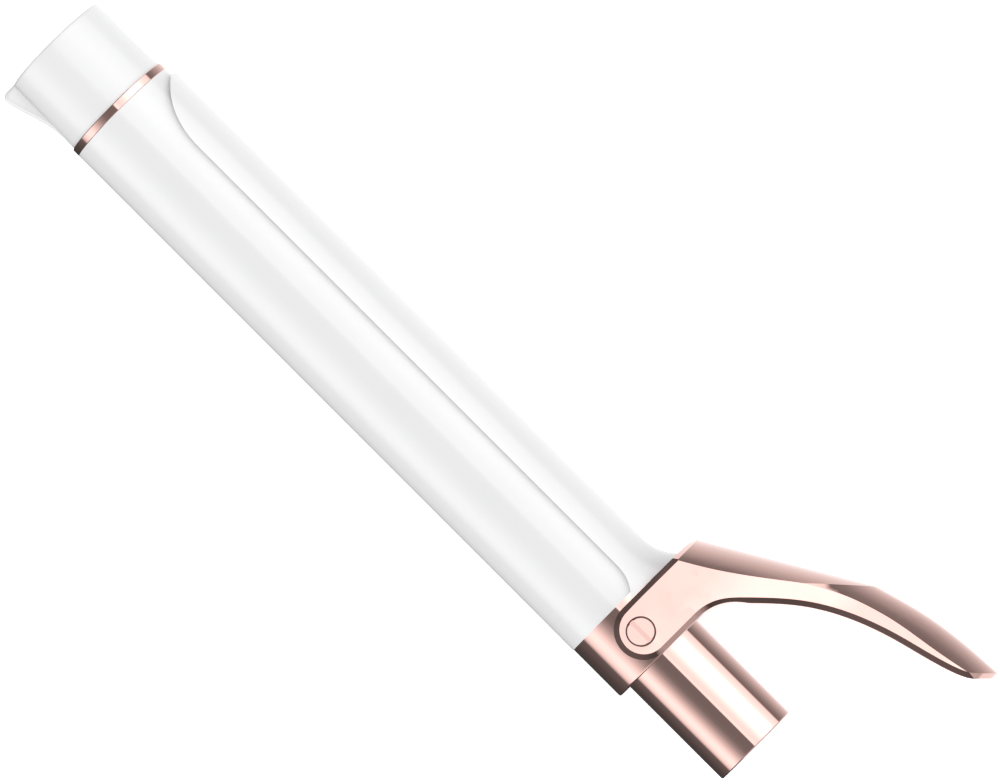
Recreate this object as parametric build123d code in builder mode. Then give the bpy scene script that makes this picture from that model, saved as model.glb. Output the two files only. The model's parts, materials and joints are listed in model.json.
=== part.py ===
"""Clip barrel for an interchangeable curling iron, lying on its side. Units are millimetres.

X runs along the barrel axis from the stem's end face (X = 0) to the cool tip. The clip and its
thumb lever are on the -Y side, the fin of the cool tip is on the +Y side, and +Z is up.
"""
import os
from math import cos, radians, sin, tan

from build123d import *

os.makedirs("parts", exist_ok=True)

# ---- driving dimensions -------------------------------------------------------------------------
barrel_radius = 16.0            # 32 mm barrel
barrel_wall = 1.0
barrel_start = 51.0
barrel_end = 232.7
ring_length = 2.2
tip_length = 22.9
tip_root_radius = 15.5
tip_end_radius = 15.3

stem_radius = 12.25
stem_length = 33.9              # as far as the collar
recess_depth = 0.5              # recess in the collar's back face, which seats the sleeve
seat_radius = 12.0              # the sleeve's land in that recess
collar_radius = 15.8

clip_gap = 0.24                 # clip to barrel
clip_thickness = 1.1
clip_edge_y = -7.73             # straight edges of the clip
clip_end = 230.3
flare_height = 21.0             # height of the clip's root above the axis
flare_start = 60.0

pivot_x = 41.95
ear_face_z = 18.5
ear_inner_z = 16.1
ear_radius = 7.8
ear_center = (41.7, -0.85)
lever_front = 49.5
lever_bevel = (1.5, 2.0)        # along the side face, and across it
roof_bevel = 1.3
roof_thickness = 2.0
ridge_slope = 30.4              # degrees, straight front part of the lever
ridge_point = (47.7, -27.5)     # a point on the straight ridge
front_crown = (22.0, 14.1)      # half axes of the elliptical section of the lever's top
pad_crown = (24.8, 39.6)
pad_slope = 16.0                # degrees, where the thumb pad starts
pad_start = (6.9, -51.4)

fit = 0.05                      # radial clearance of sliding and running fits
thread_fit = 0.02               # radial clearance of threads, drawn plain

# ---- sizes worked out from them -----------------------------------------------------------------
barrel_bore = barrel_radius - barrel_wall
ring_end = barrel_end + ring_length
tip_end = ring_end + tip_length
clip_inner = barrel_radius + clip_gap
clip_outer = clip_inner + clip_thickness
ear_wall = ear_face_z - ear_inner_z


def wall(x0, x1, r_in, r_out, mode=Mode.ADD):
    """Rectangle in the XY plane that becomes a ring when it is turned about the X axis."""
    with Locations(((x0 + x1) / 2, (r_in + r_out) / 2)):
        Rectangle(x1 - x0, r_out - r_in, mode=mode)


def side_plane(x, radius, angle):
    """Plane that faces away from the barrel axis; the angle is counted from -Y towards +Z."""
    outward = (0, -cos(radians(angle)), sin(radians(angle)))
    origin = (x, radius * outward[1], radius * outward[2])
    return Plane(origin=origin, x_dir=(1, 0, 0), z_dir=outward)


def pivot_planes(z):
    """The two pivot planes, above and below, facing outwards."""
    upper = Plane(origin=(pivot_x, 0, z), x_dir=(1, 0, 0), z_dir=(0, 0, 1))
    lower = Plane(origin=(pivot_x, 0, -z), x_dir=(1, 0, 0), z_dir=(0, 0, -1))
    return upper, lower


outward_up = (Align.CENTER, Align.CENTER, Align.MIN)
inward_down = (Align.CENTER, Align.CENTER, Align.MAX)

# ---- barrel tube ----------------------------------------------------------------------------------
barrel_screw_x = 55.5
barrel_screw_angles = (-30, 30)  # under the clip
barrel_screw_planes = [side_plane(barrel_screw_x, barrel_radius, a) for a in barrel_screw_angles]
screw_head_radius = 1.95
screw_shank_radius = 1.0

with BuildPart() as barrel_tube:
    with BuildSketch(Plane.XY):
        wall(barrel_start, barrel_end, barrel_bore, barrel_radius)
    revolve(axis=Axis.X)
    with Locations(*barrel_screw_planes):
        CounterSinkHole(screw_shank_radius + fit, screw_head_radius + fit, depth=3 * barrel_wall)
barrel_tube.part.label = "barrel_tube"
export_step(barrel_tube.part, "parts/barrel_tube.step")

# ---- cool tip -------------------------------------------------------------------------------------
tip_wall = 2.2
tip_cup_radius = 13.3
tip_boss_radius = 3.4
tip_boss_start = 239.0
tip_screw_radius = 1.15
fin_half_width = 3.0
fin_height = 19.4

with BuildPart() as tip_fin:
    with BuildSketch(Plane.XY):
        with BuildLine():
            fin_flare = Spline(
                (ring_end + 2.0, tip_root_radius - 0.15),
                (245.1, 16.4),
                (tip_end - 1.9, fin_height),
                tangents=((1, 0.02), (1, 0.22)),
            )
            fin_corner = RadiusArc(fin_flare @ 1, (tip_end, fin_height - 2.0), 2.0)
            Polyline(fin_corner @ 1, (tip_end, 12), (ring_end + 2.0, 12), fin_flare @ 0)
        make_face()
    extrude(amount=fin_half_width, both=True)
    fillet([e for e in tip_fin.faces().filter_by(Axis.Z).edges() if e.center().Y > 14.5], radius=1.2)

with BuildPart() as cool_tip:
    with BuildSketch(Plane.XY):
        with BuildLine():
            Polyline(
                (ring_end, 0),
                (ring_end, tip_root_radius),
                (tip_end, tip_end_radius),
                (tip_end, 0),
                close=True,
            )
        make_face()
    revolve(axis=Axis.X)
    fillet(cool_tip.edges().filter_by(GeomType.CIRCLE).sort_by(Axis.X)[-1], radius=0.9)
    add(tip_fin.part)
    with BuildSketch(Plane.XY):
        wall(ring_end, tip_end - tip_wall, 0, tip_cup_radius)
    revolve(axis=Axis.X, mode=Mode.SUBTRACT)
    with BuildSketch(Plane.XY):
        wall(tip_boss_start, tip_end - tip_wall + 0.5, tip_screw_radius + thread_fit, tip_boss_radius)
    revolve(axis=Axis.X)
cool_tip.part.label = "cool_tip"
export_step(cool_tip.part, "parts/cool_tip.step")

# ---- trim ring and the plug that carries the tip ---------------------------------------------------
neck_radius = 14.3
plug_start = 221.0
plug_bore = 12.2
plug_spigot_bore = 11.2
plug_web = 2.5

with BuildPart() as tip_trim_ring:
    with BuildSketch(Plane.XY):
        wall(barrel_end, ring_end, neck_radius, barrel_radius)
    revolve(axis=Axis.X)
    chamfer(tip_trim_ring.edges().group_by(SortBy.LENGTH)[-1], length=0.15)
tip_trim_ring.part.label = "tip_trim_ring"
export_step(tip_trim_ring.part, "parts/tip_trim_ring.step")

with BuildPart() as tip_plug:
    with BuildSketch(Plane.XY):
        wall(plug_start, barrel_end, plug_bore, barrel_bore - fit)
        wall(barrel_end - 1, ring_end, plug_bore, neck_radius - fit)
        wall(ring_end - 1, tip_boss_start, plug_spigot_bore, tip_cup_radius - fit)
        wall(tip_boss_start - plug_web, tip_boss_start, tip_screw_radius + fit, plug_spigot_bore + 1)
    revolve(axis=Axis.X)
tip_plug.part.label = "tip_plug"
export_step(tip_plug.part, "parts/tip_plug.step")

tip_screw_seat = tip_boss_start - plug_web
tip_screw_head = 2.0
tip_screw_length = 15.5
cross_length = 3.0
cross_width = 0.7

with BuildPart() as tip_screw:
    with BuildSketch(Plane.XY):
        wall(tip_screw_seat - tip_screw_head, tip_screw_seat, 0, 2.6)
        wall(tip_screw_seat - 0.1, tip_screw_seat + tip_screw_length, 0, tip_screw_radius)
    revolve(axis=Axis.X)
    with BuildSketch(Plane.YZ.offset(tip_screw_seat - tip_screw_head)):
        Rectangle(cross_length, cross_width)
        Rectangle(cross_width, cross_length)
    extrude(amount=1.1, mode=Mode.SUBTRACT)
tip_screw.part.label = "tip_screw"
export_step(tip_screw.part, "parts/tip_screw.step")

# ---- collar with the two pivot bosses ---------------------------------------------------------------
collar_bore = 11.5
nut_seat_x = 47.6
nut_bore = 13.6
spigot_end = 59.0
boss_radius = 3.2
boss_top = 15.8
pocket_radius = 4.7
pocket_floor = 12.6
wire_radius = 0.35
coil_radius = 3.9
leg_reach = 6.3
pivot_thread_radius = 1.25
leg_slot_half = wire_radius + 0.1

with BuildPart() as collar:
    with BuildSketch(Plane.XY):
        wall(stem_length, barrel_start, collar_bore, collar_radius)
        wall(nut_seat_x, spigot_end, nut_bore, barrel_bore - fit)
        wall(nut_seat_x, barrel_start + 1, 0, nut_bore, mode=Mode.SUBTRACT)
        wall(stem_length - 1, stem_length + recess_depth, 0, stem_radius + fit, mode=Mode.SUBTRACT)
    revolve(axis=Axis.X)
    back_rim = collar.edges().filter_by(GeomType.CIRCLE).group_by(Axis.X)[0].sort_by(SortBy.LENGTH)[-1]
    fillet(back_rim, radius=0.6)
    with Locations(*pivot_planes(pocket_floor)):
        Cylinder(pocket_radius, 5, align=outward_up, mode=Mode.SUBTRACT)
    with Locations(*pivot_planes(pocket_floor - 0.5)):
        Cylinder(boss_radius, boss_top - pocket_floor + 0.5, align=outward_up)
    for side in (1, -1):
        # slot for the fixed leg of the spring, open towards the ear
        with Locations((pivot_x - coil_radius, -leg_reach / 2, side * (pocket_floor + 2.5))):
            Box(2 * leg_slot_half, leg_reach + 0.6, 5, mode=Mode.SUBTRACT)
        # relief that lets the moving leg swing
        with Locations((pivot_x + 2.2, -4.6, side * (14.8 + 1))):
            Box(5.6, 7.2, 2, mode=Mode.SUBTRACT)
    with Locations(*pivot_planes(boss_top)):
        Hole(pivot_thread_radius + thread_fit, depth=5.5)
    with Locations(*barrel_screw_planes):
        Hole(screw_shank_radius - 0.15 + thread_fit, depth=barrel_wall + 2)
collar.part.label = "collar"
export_step(collar.part, "parts/collar.step")

with BuildPart() as barrel_screws:
    with Locations(*barrel_screw_planes):
        Cone(screw_shank_radius, screw_head_radius, barrel_wall, align=inward_down)
        Cylinder(screw_shank_radius - 0.15, 2.25, align=inward_down)
        Box(4.5, 0.6, 0.4, mode=Mode.SUBTRACT)
    wrap = Cylinder(barrel_radius - 0.05, 20, rotation=(0, 90, 0), mode=Mode.PRIVATE)
    add(Location((barrel_screw_x, 0, 0)) * wrap, mode=Mode.INTERSECT)
barrel_screws.part.label = "barrel_screws"
export_step(barrel_screws.part, "parts/barrel_screws.step")

# ---- stem: plated sleeve, its lock nut, liner and terminals -----------------------------------------
stem_wall = 1.2
stem_step_x = 31.5
spigot_back = 50.5
spigot_radius = collar_bore - fit
nut_end = 50.2
nut_slot = 2.4
liner_radius = 9.95
liner_wall = 1.1
liner_start = 16.0
liner_end = 58.8
block_start = 1.2
block_end = 12.0
contact_circle = 5.5
contact_radius = 1.25
contact_start = block_start - 0.6
contact_length = 13.4
contact_rounding = 0.3

with BuildPart() as stem_sleeve:
    with BuildSketch(Plane.XY):
        wall(0, stem_length, stem_radius - stem_wall, stem_radius)
        wall(stem_step_x, stem_length + recess_depth, liner_radius + fit, seat_radius)
        wall(stem_step_x, spigot_back, liner_radius + fit, spigot_radius)
    revolve(axis=Axis.X)
    end_rims = stem_sleeve.edges().filter_by(GeomType.CIRCLE).group_by(Axis.X)[0]
    chamfer(end_rims, length=0.3)
stem_sleeve.part.label = "stem_sleeve"
export_step(stem_sleeve.part, "parts/stem_sleeve.step")

with BuildPart() as stem_lock_nut:
    with BuildSketch(Plane.XY):
        wall(nut_seat_x, nut_end, spigot_radius + thread_fit, nut_bore - 0.3)
    revolve(axis=Axis.X)
    with BuildSketch(Plane.YZ.offset(nut_end)):
        Rectangle(40, nut_slot)
        Rectangle(nut_slot, 40)
    extrude(amount=-1.0, mode=Mode.SUBTRACT)
stem_lock_nut.part.label = "stem_lock_nut"
export_step(stem_lock_nut.part, "parts/stem_lock_nut.step")

with BuildPart() as stem_liner:
    with BuildSketch(Plane.XY):
        wall(liner_start, liner_end, liner_radius - liner_wall, liner_radius)
        wall(liner_start, liner_start + 2, liner_radius - liner_wall, stem_radius - stem_wall - fit)
    revolve(axis=Axis.X)
stem_liner.part.label = "stem_liner"
export_step(stem_liner.part, "parts/stem_liner.step")

with BuildPart() as terminal_block:
    with BuildSketch(Plane.YZ.offset(block_start)):
        Circle(stem_radius - stem_wall - fit)
        with PolarLocations(contact_circle, 4, start_angle=45):
            Circle(contact_radius + thread_fit, mode=Mode.SUBTRACT)
    extrude(amount=block_end - block_start)
terminal_block.part.label = "terminal_block"
export_step(terminal_block.part, "parts/terminal_block.step")

with BuildPart() as contact_studs:
    with BuildSketch(Plane.YZ.offset(contact_start)):
        with PolarLocations(contact_circle, 4, start_angle=45):
            Circle(contact_radius)
    extrude(amount=contact_length)
    front_rims = contact_studs.edges().filter_by(GeomType.CIRCLE).group_by(Axis.X)[0]
    fillet(front_rims, radius=contact_rounding)
contact_studs.part.label = "contact_studs"
export_step(contact_studs.part, "parts/contact_studs.step")

# ---- heater ---------------------------------------------------------------------------------------
heater_start = 78.0
heater_end = 208.0
pack_width = 21.0
pack_half_thickness = 1.55
film_thickness = 0.25
plate_thickness = 0.23
tab_y = 5.0                     # the electrodes' solder tabs, off the middle
stone_count = 4
stone_gap = 1.5
stone_width = 18.0
barrier_end = 63.0
core_hole_radius = 3.7
core_hole_place = (7.1, 6.9)
thermistor_bore = 1.3
thermistor_height = 8.0
sensor_start = 128.0
sensor_end = 135.0

with BuildPart() as heat_barrier:
    with BuildSketch(Plane.YZ.offset(spigot_end)):
        Circle(barrel_bore - fit)
        with PolarLocations(contact_circle, 4, start_angle=45):
            Circle(1.2, mode=Mode.SUBTRACT)
    extrude(amount=barrier_end - spigot_end)
heat_barrier.part.label = "heat_barrier"
export_step(heat_barrier.part, "parts/heat_barrier.step")

for name, side in (("heat_spreader_upper", 1), ("heat_spreader_lower", -1)):
    with BuildPart() as heat_spreader:
        with BuildSketch(Plane.YZ.offset(heater_start)):
            Circle(barrel_bore - 2 * fit)
            with Locations((0, side * (pack_half_thickness - 20))):
                Rectangle(40, 40, mode=Mode.SUBTRACT)
            hole_y, hole_z = core_hole_place
            with Locations((-hole_y, side * hole_z), (hole_y, side * hole_z)):
                Circle(core_hole_radius, mode=Mode.SUBTRACT)
            with Locations((0, side * thermistor_height)):
                Circle(thermistor_bore, mode=Mode.SUBTRACT)
        extrude(amount=heater_end - heater_start)
    heat_spreader.part.label = name
    export_step(heat_spreader.part, f"parts/{name}.step")

with BuildPart() as heater_film:
    with BuildSketch(Plane.YZ.offset(heater_start + 1)):
        Rectangle(pack_width, 2 * pack_half_thickness)
        Rectangle(pack_width - 2 * film_thickness, 2 * (pack_half_thickness - film_thickness),
                  mode=Mode.SUBTRACT)
    extrude(amount=heater_end - heater_start - 2)
heater_film.part.label = "heater_film"
export_step(heater_film.part, "parts/heater_film.step")

plate_top = pack_half_thickness - film_thickness
for name, side in (("electrode_upper", 1), ("electrode_lower", -1)):
    plate_z = side * (plate_top - plate_thickness / 2)
    with BuildPart() as electrode:
        with Locations(((heater_start + heater_end) / 2, 0, plate_z)):
            Box(heater_end - heater_start - 4, stone_width, plate_thickness)
        with Locations((heater_start - 0.5, side * tab_y, plate_z)):
            Box(6, 3, plate_thickness)
    electrode.part.label = name
    export_step(electrode.part, f"parts/{name}.step")

stone_length = (heater_end - heater_start - 6 - (stone_count - 1) * stone_gap) / stone_count
with BuildPart() as ptc_stones:
    with Locations(((heater_start + heater_end) / 2, 0, 0)):
        with GridLocations(stone_length + stone_gap, 1, stone_count, 1):
            Box(stone_length, stone_width - 1, 2 * (plate_top - plate_thickness))
ptc_stones.part.label = "ptc_stones"
export_step(ptc_stones.part, "parts/ptc_stones.step")

with BuildPart() as thermistor:
    with BuildSketch(Plane.YZ.offset(sensor_start)):
        with Locations((0, thermistor_height)):
            Circle(thermistor_bore - fit)
    extrude(amount=sensor_end - sensor_start)
    fillet(thermistor.edges().filter_by(GeomType.CIRCLE).sort_by(Axis.X)[-1], radius=0.9)
thermistor.part.label = "thermistor"
export_step(thermistor.part, "parts/thermistor.step")

fuse_start = 65.0
fuse_end = 72.0
fuse_radius = 1.9
heater_wire_radius = 0.7
thin_wire_radius = 0.4
contact_offset = contact_circle * sin(radians(45))

with BuildPart() as thermal_fuse:
    with BuildSketch(Plane.YZ.offset(fuse_start)):
        with Locations((-contact_offset, -contact_offset)):
            Circle(fuse_radius)
    extrude(amount=fuse_end - fuse_start)
    fillet(thermal_fuse.edges().filter_by(GeomType.CIRCLE), radius=0.5)
thermal_fuse.part.label = "thermal_fuse"
export_step(thermal_fuse.part, "parts/thermal_fuse.step")


def wire(*points, radius):
    """Round wire that follows straight runs between its points."""
    with BuildPart() as one_wire:
        with BuildLine():
            run = Polyline(*points)
        with BuildSketch(Plane(origin=run @ 0, z_dir=run % 0)):
            Circle(radius)
        sweep(transition=Transition.RIGHT)
    return one_wire.part


lead_start = contact_start + contact_length
tab_start = heater_start - 3.5
tab_z = plate_top - plate_thickness / 2
live_lead = wire(
    (lead_start, contact_offset, contact_offset),
    (barrier_end + 2, contact_offset, contact_offset),
    (tab_start - 3, tab_y, tab_z),
    (tab_start, tab_y, tab_z),
    radius=heater_wire_radius,
)
neutral_lead = wire(
    (lead_start, -contact_offset, -contact_offset),
    (fuse_start, -contact_offset, -contact_offset),
    radius=heater_wire_radius,
)
fuse_tail = wire(
    (fuse_end, -contact_offset, -contact_offset),
    (fuse_end + 0.8, -contact_offset, -contact_offset),
    (tab_start - 0.8, -tab_y, -tab_z),
    (tab_start, -tab_y, -tab_z),
    radius=thin_wire_radius,
)
with BuildPart() as heater_leads:
    add(live_lead)
    add(neutral_lead)
    add(fuse_tail)
heater_leads.part.label = "heater_leads"
export_step(heater_leads.part, "parts/heater_leads.step")

with BuildPart() as sensor_leads:
    for side in (1, -1):
        add(wire(
            (lead_start, -side * contact_offset, side * contact_offset),
            (barrier_end + 2, -side * contact_offset, side * contact_offset),
            (heater_start - 3, -side * 0.6, thermistor_height),
            (sensor_start, -side * 0.6, thermistor_height),
            radius=thin_wire_radius,
        ))
sensor_leads.part.label = "sensor_leads"
export_step(sensor_leads.part, "parts/sensor_leads.step")

# ---- pivot screws, washers and torsion springs ------------------------------------------------------
head_radius = 3.65
head_bevel = 0.25
head_height = 1.1
head_gap = 0.3
head_clearance = 1.0            # the recess is cut from this far outside the ear's face
shoulder_radius = 2.2
slot_width = 1.2
slot_depth = 0.6
screw_tip_z = 11.6

with BuildPart() as pivot_screws:
    with Locations(*pivot_planes(ear_face_z)):
        Cylinder(head_radius, head_height, align=inward_down)
    head_edges = pivot_screws.edges().filter_by(GeomType.CIRCLE).group_by(Axis.Z)
    chamfer(head_edges[0] + head_edges[-1], length=head_bevel)
    with Locations(*pivot_planes(ear_face_z)):
        Cylinder(shoulder_radius, ear_face_z - boss_top - thread_fit, align=inward_down)
        Cylinder(pivot_thread_radius, ear_face_z - screw_tip_z, align=inward_down)
        Box(2 * head_radius + 1, slot_width, 2 * slot_depth, mode=Mode.SUBTRACT)
pivot_screws.part.label = "pivot_screws"
export_step(pivot_screws.part, "parts/pivot_screws.step")

with BuildPart() as pivot_washers:
    with Locations(*pivot_planes(boss_top + 0.01)):
        Cylinder(boss_radius, ear_inner_z - boss_top - 0.06, align=outward_up)
        Cylinder(shoulder_radius + fit, 1, align=outward_up, mode=Mode.SUBTRACT)
pivot_washers.part.label = "pivot_washers"
export_step(pivot_washers.part, "parts/pivot_washers.step")

coil_pitch = 2 * wire_radius + 0.06
coil_turns = 3.5
coil_base = pocket_floor + wire_radius + 0.03
coil_top = coil_base + coil_pitch * coil_turns
leg_depth = 1.3                 # how far the moving leg enters the ear
leg_hole_radius = wire_radius + 0.1

with BuildPart() as spring_at_origin:
    with BuildLine():
        coil = Helix(coil_pitch, coil_pitch * coil_turns, coil_radius, lefthand=True)
    with BuildSketch(Plane(origin=coil @ 0, z_dir=coil % 0)):
        Circle(wire_radius)
    sweep()
    with Locations(*[Plane(origin=end, z_dir=(0, 1, 0)) for end in (coil @ 0, coil @ 1)]):
        Sphere(wire_radius)
        Cylinder(wire_radius, leg_reach, align=outward_up)
    with Locations((-coil_radius, leg_reach, coil_pitch * coil_turns)):
        Sphere(wire_radius)
        Cylinder(wire_radius, ear_inner_z + leg_depth - 0.1 - coil_top, align=outward_up)

with BuildPart() as torsion_spring_upper:
    with Locations(Location((pivot_x, 0, coil_base), (0, 0, 180))):
        add(spring_at_origin.part)
torsion_spring_upper.part.label = "torsion_spring_upper"
export_step(torsion_spring_upper.part, "parts/torsion_spring_upper.step")

with BuildPart() as torsion_spring_lower:
    add(mirror(torsion_spring_upper.part, about=Plane.XY, mode=Mode.PRIVATE))
torsion_spring_lower.part.label = "torsion_spring_lower"
export_step(torsion_spring_lower.part, "parts/torsion_spring_lower.step")

# ---- clip -----------------------------------------------------------------------------------------
tab_end = 36.5
tab_half_width = 9.0
clip_root = lever_front + 0.1
clip_screw_x = (40.0, 46.0)
clip_screw_radius = 1.25
clip_screw_head = (2.25, 1.1)   # radius, height
clip_screw_length = 5.0
flare_stations = (            # x, height of the outside above the axis
    (flare_start, clip_outer),
    (56.5, clip_outer + 0.25),
    (52.8, clip_outer + 1.45),
    (clip_root, flare_height),
)


def flare_solid(thickness):
    """Solid under the flared root, made thinner by the given thickness."""
    with BuildPart() as solid:
        for x, height in flare_stations:
            with BuildSketch(Plane.YZ.offset(x)):
                Ellipse(height - thickness, clip_outer - thickness)
        loft()
    return solid.part


with BuildPart() as curl_clip:
    with BuildSketch(Plane.YZ.offset(flare_start)):
        Circle(clip_outer)
    extrude(amount=clip_end - flare_start)
    add(flare_solid(0))
    with BuildSketch(Plane.YZ.offset(flare_start)):
        Circle(clip_inner)
    extrude(amount=clip_end - flare_start, mode=Mode.SUBTRACT)
    add(flare_solid(clip_thickness), mode=Mode.SUBTRACT)
    with BuildSketch(Plane.XY):
        with BuildLine():
            tip_curve = Spline(
                (clip_end, -16.04),
                (224.6, -11.1),
                (210.8, clip_edge_y),
                tangents=((-1, 1.25), (-1, 0)),
            )
            root_curve = Spline(
                (58.8, clip_edge_y),
                (52.3, -6.2),
                (clip_root, -3.8),
                tangents=((-1, 0), (-1, 1.3)),
            )
            Line(tip_curve @ 1, root_curve @ 0)
            Polyline(root_curve @ 1, (clip_root, -23), (clip_end, -23), tip_curve @ 0)
        make_face()
    extrude(amount=clip_outer + 1, both=True, mode=Mode.INTERSECT)
    # tab under the roof of the lever
    with BuildSketch(Plane.YZ.offset(tab_end)):
        Ellipse(flare_height, clip_outer)
        Ellipse(flare_height - clip_thickness, clip_inner, mode=Mode.SUBTRACT)
        with Locations((-flare_height, 0)):
            Rectangle(20, 2 * tab_half_width, mode=Mode.INTERSECT)
    extrude(amount=clip_root - tab_end)
    for x in clip_screw_x:
        with Locations(Plane(origin=(x, clip_thickness - flare_height, 0), z_dir=(0, 1, 0))):
            Cylinder(clip_screw_radius + fit, 10, mode=Mode.SUBTRACT)
            Cylinder(clip_screw_head[0] + 0.1, 3, align=outward_up, mode=Mode.SUBTRACT)
curl_clip.part.label = "curl_clip"
export_step(curl_clip.part, "parts/curl_clip.step")

with BuildPart() as clip_screws:
    for x in clip_screw_x:
        with Locations(Plane(origin=(x, clip_thickness - flare_height, 0), z_dir=(0, 1, 0))):
            Cylinder(*clip_screw_head, align=outward_up)
            Cylinder(clip_screw_radius, clip_screw_length, align=inward_down)
        head_y = clip_thickness - flare_height + clip_screw_head[1]
        with Locations(Plane(origin=(x, head_y, 0), z_dir=(0, 1, 0))):
            Box(2.6, 0.6, 1.0, mode=Mode.SUBTRACT)
            Box(0.6, 2.6, 1.0, mode=Mode.SUBTRACT)
clip_screws.part.label = "clip_screws"
export_step(clip_screws.part, "parts/clip_screws.step")

# ---- thumb lever ----------------------------------------------------------------------------------
cutter_depth = 14.0
screw_boss_radius = 2.7
screw_boss_depth = 4.4          # depth of the screw holes in the lever's bosses
lever_back = -34.0              # just behind the lever's end, where its outline is cut off
spring_hole = (pivot_x + coil_radius, -leg_reach)
slope = radians(ridge_slope)
front_top = (lever_front + 3, ridge_point[1] + (lever_front + 3 - ridge_point[0]) * tan(slope))
pad_run = 17.1                  # how far the pad's crown reaches forward of pad_start
pad_top = (pad_start[0] + pad_run, pad_start[1] + pad_run * tan(radians(pad_slope)))


def above_crown(thickness):
    """What is cut off above the lever's top, lowered by the given thickness."""
    front_direction = (-cos(slope), -sin(slope), 0)
    with BuildPart() as cutter:
        with BuildSketch(Plane(origin=(*front_top, 0), x_dir=(0, 0, 1), z_dir=front_direction)):
            Rectangle(44, 2 * cutter_depth)
            half_width, height = front_crown
            with Locations((0, height)):
                Ellipse(half_width - thickness, height - thickness, mode=Mode.SUBTRACT)
        extrude(amount=62)
    pad_direction = (-cos(radians(pad_slope)), -sin(radians(pad_slope)), 0)
    with BuildPart() as pad_cutter:
        with BuildLine():
            run = Line(pad_top, pad_start)
            Spline(run @ 1, (-7.4, -55.2), (lever_back, -57.8), tangents=(run % 1, (-1, -0.04)))
        with BuildSketch(Plane(origin=(*pad_top, 0), x_dir=(0, 0, 1), z_dir=pad_direction)):
            Rectangle(36, 2 * cutter_depth)
            half_width, height = pad_crown
            with Locations((0, height)):
                Ellipse(half_width - thickness, height - thickness, mode=Mode.SUBTRACT)
        sweep()
    return cutter.part + pad_cutter.part


def plan_body(half_widths, end_arc=None):
    """Upright solid with the given outline as seen along Y; half_widths run from front to back."""
    front = (lever_front, half_widths[0][1])
    with BuildPart() as body:
        with BuildSketch(Plane.XZ.offset(-10)):
            with BuildLine():
                if front != half_widths[0]:
                    Line(front, half_widths[0])
                side = Spline(*half_widths, tangents=((-1, 0), (-1, -0.16)))
                if end_arc:
                    ThreePointArc(side @ 1, *end_arc)
                    Line(end_arc[1], (lever_front, 0))
                else:
                    Polyline(side @ 1, (half_widths[-1][0], 0), (lever_front, 0))
                Line((lever_front, 0), front)
            make_face()
            mirror(about=Plane.XZ)
        extrude(amount=80)
    return body.part


lever_half_widths = ((lever_front, ear_face_z), (pivot_x, ear_face_z), (30, 17.3), (20, 15.1),
                     (11, 13.2), (0, 12.7), (-25.3, 12.2))
hollow_half_widths = ((33, ear_inner_z), (25, 13.8), (16, 11.7), (0, 10.3), (-36, 8.8))
top_cut = above_crown(0)
lever_hollow = plan_body(hollow_half_widths) - above_crown(roof_thickness)

with BuildPart() as thumb_lever:
    with BuildSketch(Plane.XY):
        with BuildLine():
            ear_x, ear_y = ear_center
            ear_arc = ThreePointArc(
                (lever_front, ear_y),
                (ear_x, ear_y + ear_radius),
                (ear_x - ear_radius, ear_y),
            )
            back = Line(ear_arc @ 1, (ear_x - ear_radius, -12.9))
            belly = Spline(
                back @ 1,
                (28.2, -24.1),
                (16.5, -34.5),
                (-6.1, -44.9),
                (-20.4, -48.8),
                (-27.0, -51.7),
                (lever_back, -57.2),
                tangents=((0, -1), (-1, -0.5)),
            )
            Polyline(belly @ 1, (lever_back, -64), (7, -60), (lever_front, -35), ear_arc @ 0)
        make_face()
    extrude(amount=ear_face_z + 2, both=True)
    add(plan_body(lever_half_widths, end_arc=((-29.4, 6.9), (-31, 0))), mode=Mode.INTERSECT)
    for side in (1, -1):
        side_faces = thumb_lever.faces().filter_by(lambda f: side * f.normal_at().Z > 0.6)
        for face in side_faces:
            rim = face.edges().filter_by(lambda e: e.center().Y > -45)
            chamfer(rim, length=lever_bevel[0], length2=lever_bevel[1], reference=face)
    add(top_cut, mode=Mode.SUBTRACT)
    front_face = thumb_lever.faces().sort_by(Axis.X)[-1]
    roof_edge = front_face.edges().filter_by(lambda e: e.center().Y < -21).sort_by(SortBy.LENGTH)[-1]
    chamfer(roof_edge, length=roof_bevel)
    add(lever_hollow, mode=Mode.SUBTRACT)
    # bosses that the clip is screwed to
    for x in clip_screw_x:
        roof_y = ridge_point[1] - (ridge_point[0] - x) * tan(slope)
        with Locations(Plane(origin=(x, -flare_height - thread_fit, 0), z_dir=(0, -1, 0))):
            Cylinder(screw_boss_radius, -flare_height - roof_y - 1.4, align=outward_up)
            Cylinder(clip_screw_radius + thread_fit, screw_boss_depth, align=outward_up, mode=Mode.SUBTRACT)
    with Locations(*pivot_planes(ear_face_z)):
        Cylinder(shoulder_radius + fit, ear_wall + 1, align=inward_down, mode=Mode.SUBTRACT)
    with Locations(*pivot_planes(ear_face_z + head_clearance)):
        Cylinder(head_radius + head_gap, head_clearance + head_height + fit, align=inward_down,
                 mode=Mode.SUBTRACT)
    for side in (1, -1):
        with Locations((*spring_hole, side * (ear_inner_z + leg_depth / 2))):
            Cylinder(leg_hole_radius, leg_depth, mode=Mode.SUBTRACT)
thumb_lever.part.label = "thumb_lever"
export_step(thumb_lever.part, "parts/thumb_lever.step")
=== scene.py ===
"""Looks of a curling iron's clip barrel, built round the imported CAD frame. Units are metres."""
import json
from math import pi

import bpy
from mathutils import Matrix, Vector


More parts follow.
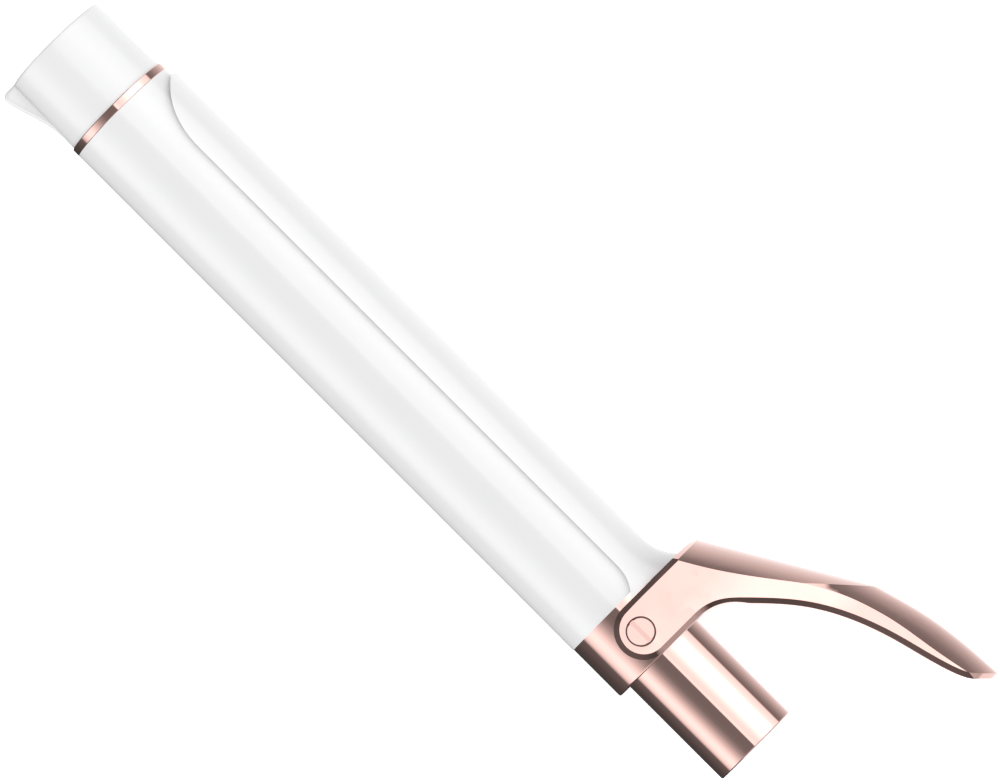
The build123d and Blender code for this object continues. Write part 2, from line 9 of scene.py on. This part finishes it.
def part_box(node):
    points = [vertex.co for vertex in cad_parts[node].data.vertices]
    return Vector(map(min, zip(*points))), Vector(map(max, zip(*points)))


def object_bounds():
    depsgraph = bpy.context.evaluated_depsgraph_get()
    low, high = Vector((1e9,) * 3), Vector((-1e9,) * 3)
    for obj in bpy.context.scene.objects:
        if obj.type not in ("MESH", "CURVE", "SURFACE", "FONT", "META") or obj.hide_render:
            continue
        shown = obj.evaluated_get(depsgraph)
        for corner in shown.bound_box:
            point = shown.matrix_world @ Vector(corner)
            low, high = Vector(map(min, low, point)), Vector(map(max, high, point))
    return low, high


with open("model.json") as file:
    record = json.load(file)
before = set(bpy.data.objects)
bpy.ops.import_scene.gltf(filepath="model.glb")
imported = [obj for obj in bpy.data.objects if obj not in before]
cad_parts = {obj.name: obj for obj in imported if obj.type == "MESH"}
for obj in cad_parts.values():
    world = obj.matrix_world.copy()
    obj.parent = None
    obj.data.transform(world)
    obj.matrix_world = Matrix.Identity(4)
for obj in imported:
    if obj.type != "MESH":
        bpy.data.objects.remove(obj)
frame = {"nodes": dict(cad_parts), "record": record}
cad_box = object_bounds()
nodes = frame["nodes"]


# ---- shader helpers ----------------------------------------------------------------------------
class Shader:
    """A node tree with short calls for the few nodes used here."""

    def __init__(self, tree):
        tree.nodes.clear()
        self.tree = tree

    def node(self, kind, inputs=None, **settings):
        made = self.tree.nodes.new(kind)
        for name, value in settings.items():
            setattr(made, name, value)
        for name, value in (inputs or {}).items():
            if isinstance(value, bpy.types.NodeSocket):
                self.tree.links.new(value, made.inputs[name])
            else:
                made.inputs[name].default_value = value
        return made

    def math(self, operation, a, b=0.0):
        return self.node("ShaderNodeMath", {0: a, 1: b}, operation=operation).outputs[0]

    def ramp(self, factor, stops):
        """A linear ramp through stops, each a place from 0 to 1 and a grey level."""
        made = self.node("ShaderNodeValToRGB", {"Fac": factor})
        elements = made.color_ramp.elements
        while len(elements) < len(stops):
            elements.new(0.5)
        for element, (position, grey) in zip(elements, stops):
            element.position = position
            element.color = (grey, grey, grey, 1.0)
        return made.outputs["Color"]

    def noise(self, vector, scale, detail=2.0, roughness=0.5):
        return self.node(
            "ShaderNodeTexNoise",
            {"Vector": vector, "Scale": scale, "Detail": detail, "Roughness": roughness},
        ).outputs["Fac"]

    def span(self, value, low, high, start=0.0, end=1.0):
        """Maps a value of start to end onto low to high, and no further."""
        return self.node(
            "ShaderNodeMapRange",
            {"Value": value, "From Min": start, "From Max": end, "To Min": low, "To Max": high},
        ).outputs[0]

    def bump(self, height, distance):
        inputs = {"Height": height, "Distance": distance, "Strength": 1.0}
        return self.node("ShaderNodeBump", inputs).outputs["Normal"]

    def mix(self, factor, a, b):
        made = self.node("ShaderNodeMix", data_type="RGBA")
        for place, value in ((0, factor), (6, a), (7, b)):
            if isinstance(value, bpy.types.NodeSocket):
                self.tree.links.new(value, made.inputs[place])
            else:
                made.inputs[place].default_value = value
        return made.outputs[2]

    def times(self, a, b):
        """The product of two colours or levels."""
        return self.node("ShaderNodeVectorMath", {0: a, 1: b}, operation="MULTIPLY").outputs[0]

    def background(self, color, strength):
        return self.node("ShaderNodeBackground", {"Color": color, "Strength": strength}).outputs[0]


def rgba(color, gain=1.0):
    return (color[0] * gain, color[1] * gain, color[2] * gain, 1.0)


# ---- pivot screw recess: painted shade ---------------------------------------------------------
pivot = Vector(frame["record"]["behaviour"]["joints"][0]["pos_m"])
ear_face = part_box("pivot_screws")[1].z
ring_inside = 0.00355           # just inside the edge of the screw's head
ring_outside = 0.00399          # just outside the wall of the recess
sunken = 0.00012                # what lies deeper than this below the ear's face is shaded
slot_shade = 0.19
# painted shade: the dark colour laid into the sunken ring round each pivot screw, and more faintly
# into its slot
painted_shade_color = (0.075, 0.05, 0.045, 1)


def recess_shade(s, place):
    """How much painted shade the sunken ring round a pivot screw gets: 1 in the ring, less in the
    screw's slot.
    """
    at = s.node("ShaderNodeSeparateXYZ", {0: place})
    off_x = s.math("SUBTRACT", at.outputs["X"], pivot.x)
    off_y = s.math("SUBTRACT", at.outputs["Y"], pivot.y)
    squares = s.math("ADD", s.math("MULTIPLY", off_x, off_x), s.math("MULTIPLY", off_y, off_y))
    radius = s.math("SQRT", squares)
    height = s.math("ABSOLUTE", at.outputs["Z"])
    deep = s.math("LESS_THAN", height, ear_face - sunken)
    ring = s.math("MULTIPLY", s.math("GREATER_THAN", radius, ring_inside),
                  s.math("LESS_THAN", radius, ring_outside))
    slot = s.math("MULTIPLY", s.math("LESS_THAN", radius, ring_inside), slot_shade)
    return s.math("MULTIPLY", deep, s.math("ADD", ring, slot))


# ---- finishes ----------------------------------------------------------------------------------
speck_gain = 0.6                # how dark the specks of a finish are, next to its colour
fine_share = 0.6                # how much of the uneven roughness follows the grain
patch_scale = 60.0              # patches per metre
noise_detail = 3.0
grain_roughness = 0.6


def surface(name, color, roughness, variation, grain, grain_depth, metallic=0.0,
            rough_range=0.15, stretch=(1, 1, 1), constants=None, grime=False):
    """A procedural finish: patchy tone, grain in colour and height, uneven roughness, and painted
    shade round the pivot screws where asked.
    """
    material = bpy.data.materials.new(name)
    material.use_nodes = True
    s = Shader(material.node_tree)
    place = s.node("ShaderNodeTexCoord").outputs["Object"]
    stretched = s.node("ShaderNodeMapping", {"Vector": place, "Scale": stretch}).outputs["Vector"]
    patches = s.noise(place, patch_scale, noise_detail)
    fine = s.noise(stretched, grain, noise_detail, grain_roughness)
    tone = s.mix(patches, rgba(color, 1 - variation), rgba(color, 1 + variation / 2))
    tone = s.mix(s.span(fine, 0.0, variation), tone, rgba(color, speck_gain))
    if grime:
        # painted shade: darkens the tone in the recess round each pivot screw
        tone = s.mix(recess_shade(s, place), tone, painted_shade_color)
    uneven = s.math("ADD", s.math("MULTIPLY", fine, fine_share),
                    s.math("MULTIPLY", patches, 1 - fine_share))
    rough = s.span(uneven, roughness * (1 - rough_range), roughness * (1 + rough_range))
    shader = s.node(
        "ShaderNodeBsdfPrincipled",
        {"Base Color": tone, "Roughness": rough, "Metallic": metallic,
         "Normal": s.bump(fine, grain_depth)},
    )
    for socket, value in (constants or {}).items():
        shader.inputs[socket].default_value = value
    s.node("ShaderNodeOutputMaterial", {"Surface": shader.outputs[0]})
    return material


rose = (0.90, 0.585, 0.53)
white = (0.79, 0.79, 0.795)

# name: colour, roughness, variation, grain, grain depth, and what else a finish has
finish_values = {
    "rose_gold": (rose, 0.055, 0.03, 2500.0, 3e-7,
                  {"metallic": 1.0, "rough_range": 0.2, "grime": True}),
    "barrel_coating": (white, 0.22, 0.015, 5000.0, 1.5e-6, {"constants": {"IOR": 1.9}}),
    "clip_coating": (white, 0.22, 0.015, 5000.0, 1.5e-6, {"constants": {"IOR": 1.9}}),
    "white_plastic": (white, 0.26, 0.012, 3000.0, 2e-6, {"constants": {"IOR": 1.8}}),
    "black_plastic": ((0.03, 0.03, 0.033), 0.5, 0.2, 3000.0, 6e-6, {}),
    "aluminium": ((0.72, 0.73, 0.74), 0.34, 0.08, 1500.0, 4e-6,
                  {"metallic": 1.0, "stretch": (0.05, 1, 1)}),
    "steel": ((0.58, 0.57, 0.56), 0.28, 0.08, 2500.0, 2e-6, {"metallic": 1.0}),
    "brass": ((0.80, 0.60, 0.28), 0.25, 0.1, 2500.0, 2e-6, {"metallic": 1.0}),
    "heater_ceramic": ((0.25, 0.24, 0.23), 0.7, 0.25, 2500.0, 1e-5, {}),
    "film": ((0.55, 0.28, 0.04), 0.2, 0.1, 1200.0, 3e-6, {}),
    "wire_insulation": ((0.75, 0.74, 0.70), 0.5, 0.06, 2500.0, 4e-6, {}),
}
finishes = {name: surface(name, *values, **extra)
            for name, (*values, extra) in finish_values.items()}

slot_of = {row["node"]: row["material_slot"] for row in frame["record"]["subparts"]}
for name, item in nodes.items():
    item.data.materials.clear()
    item.data.materials.append(finishes[slot_of[name]])
    item.visible_glossy = False     # as in the photograph, the metal mirrors only the studio

# ---- floor -------------------------------------------------------------------------------------
floor_width = 24.0
floor_patch_scale = 3.0
floor_tones = ((0.80, 0.80, 0.80, 1), (0.84, 0.84, 0.84, 1))
floor_glow = 0.62
bpy.ops.mesh.primitive_plane_add(size=floor_width, location=(0, 0, cad_box[0].z))
floor = bpy.context.object
floor.name = "floor"
floor.visible_glossy = False
floor.visible_diffuse = False
floor_material = bpy.data.materials.new("floor")
floor_material.use_nodes = True
s = Shader(floor_material.node_tree)
place = s.node("ShaderNodeTexCoord").outputs["Object"]
tone = s.mix(s.noise(place, floor_patch_scale), *floor_tones)
matte = s.node("ShaderNodeBsdfDiffuse", {"Color": tone})
glow = s.node("ShaderNodeEmission", {"Color": (1, 1, 1, 1), "Strength": floor_glow})
both = s.node("ShaderNodeAddShader", {0: matte.outputs[0], 1: glow.outputs[0]})
s.node("ShaderNodeOutputMaterial", {"Surface": both.outputs[0]})
floor.data.materials.append(floor_material)

# ---- soft studio light: long panels parallel to the barrel -------------------------------------
# angle in degrees round the barrel's axis, from straight up towards the clip, and brightness there
panels = (
    (-180, 0.09), (-160, 0.055), (-130, 0.085), (-112, 0.125), (-101.5, 0.15), (-98.5, 0.42),
    (-95, 0.88), (-88, 1.22), (-80, 1.45), (-70, 1.46), (-60, 1.1), (-50, 0.72), (-40, 0.41),
    (-30, 0.24), (-20, 0.2), (-2.2, 0.2), (-1.2, 1.28), (-0.3, 1.38), (0.9, 1.55), (4, 1.3),
    (12, 1.3), (19, 1.5), (30, 1.95), (45, 2.2), (58, 2.1), (70, 1.5), (84, 1.25), (88, 1.15),
    (91.5, 0.2), (104, 0.28), (136, 0.7), (164, 1.05),
)
# the same along the barrel, from the stem's end at 0 to the tip's end at 1
end_panels = ((0.0, 0.6), (0.5, 0.3), (1.0, 0.09))
brightest = 2.5                 # a ramp holds 0 to 1, so brightness is kept in parts of this

# how far a direction leans along the barrel, 0 to 1, where the end panels begin and take over
end_start, end_full = 0.9, 0.945
# the same where the light overhead, above this height, begins to gain and has gained all
wing_start, wing_full = 0.1, 0.35
wing_gain = 1.2
overhead = 0.7

fill_stops = ((0.0, 1.0), (0.5, 0.83), (1.0, 0.66))     # from straight down to straight up
fill_strength = 1.42
fill_base = 1.06
fill_loss_at_tip = 0.5
fill_gain_at_stem = 0.25
backdrop_strength = 1.3

world = bpy.data.worlds.new("studio")
bpy.context.scene.world = world
world.use_nodes = True
s = Shader(world.node_tree)
direction = s.node("ShaderNodeSeparateXYZ", {0: s.node("ShaderNodeTexCoord").outputs["Generated"]})
toward_tip = direction.outputs["X"]
upward = direction.outputs["Z"]
lengthways = s.math("ABSOLUTE", toward_tip)


def half_range(value):
    """Maps -1 to 1 onto 0 to 1."""
    return s.math("ADD", s.math("MULTIPLY", value, 0.5), 0.5)


# panels: what glossy surfaces show
angle = s.math("ARCTAN2", s.math("MULTIPLY", direction.outputs["Y"], -1.0), upward)
turn = s.math("ADD", s.math("DIVIDE", angle, 2 * pi), 0.5)
around = s.ramp(turn, [((degrees + 180) / 360, level / brightest) for degrees, level in panels])
along = s.ramp(half_range(toward_tip),
               [(position, level / brightest) for position, level in end_panels])
panel_color = s.mix(s.span(lengthways, 0.0, 1.0, end_start, end_full), around, along)
wings = s.span(lengthways, 1.0, wing_gain, wing_start, wing_full)
lift = s.mix(s.math("GREATER_THAN", upward, overhead), (1, 1, 1, 1), wings)
panel_light = s.background(s.times(panel_color, lift), brightest)

# fill: what matt colour is lit by
tip_loss = s.math("MULTIPLY", s.math("MAXIMUM", toward_tip, 0.0), fill_loss_at_tip)
toward_stem = s.math("MULTIPLY", toward_tip, -1.0)
stem_gain = s.math("MULTIPLY", s.math("MAXIMUM", toward_stem, 0.0), fill_gain_at_stem)
balance = s.math("ADD", s.math("SUBTRACT", fill_base, tip_loss), stem_gain)
fill_light = s.background(s.times(s.ramp(half_range(upward), fill_stops), balance), fill_strength)

backdrop = s.background((1, 1, 1, 1), backdrop_strength)
rays = s.node("ShaderNodeLightPath")
lights = s.node("ShaderNodeMixShader",
                {0: rays.outputs["Is Diffuse Ray"], 1: panel_light, 2: fill_light})
shown = s.node("ShaderNodeMixShader",
               {0: rays.outputs["Is Camera Ray"], 1: lights.outputs[0], 2: backdrop})
s.node("ShaderNodeOutputWorld", {"Surface": shown.outputs[0]})

# ---- camera ------------------------------------------------------------------------------------
target = Vector((0.1119, -0.0180, 0.0))
eye = Vector((0.022, -0.0180, 2.73))
image_up = Vector((1, -1, 0)).normalized()
view_width = 0.25974            # width of the picture at the target
sensor_width = 36.0             # in millimetres, as Blender has it
far_clip = 100.0

camera_data = bpy.data.cameras.new("camera")
camera = bpy.data.objects.new("camera", camera_data)
bpy.context.scene.collection.objects.link(camera)
forward = (target - eye).normalized()
right = forward.cross(image_up).normalized()
up = right.cross(forward)
camera.matrix_world = Matrix.Translation(eye) @ Matrix((right, up, -forward)).transposed().to_4x4()
camera_data.sensor_width = sensor_width
camera_data.lens = sensor_width * (target - eye).length / view_width
camera_data.clip_end = far_clip
bpy.context.scene.camera = camera

bpy.context.scene.view_settings.view_transform = "Standard"
bpy.context.scene.view_settings.look = "None"
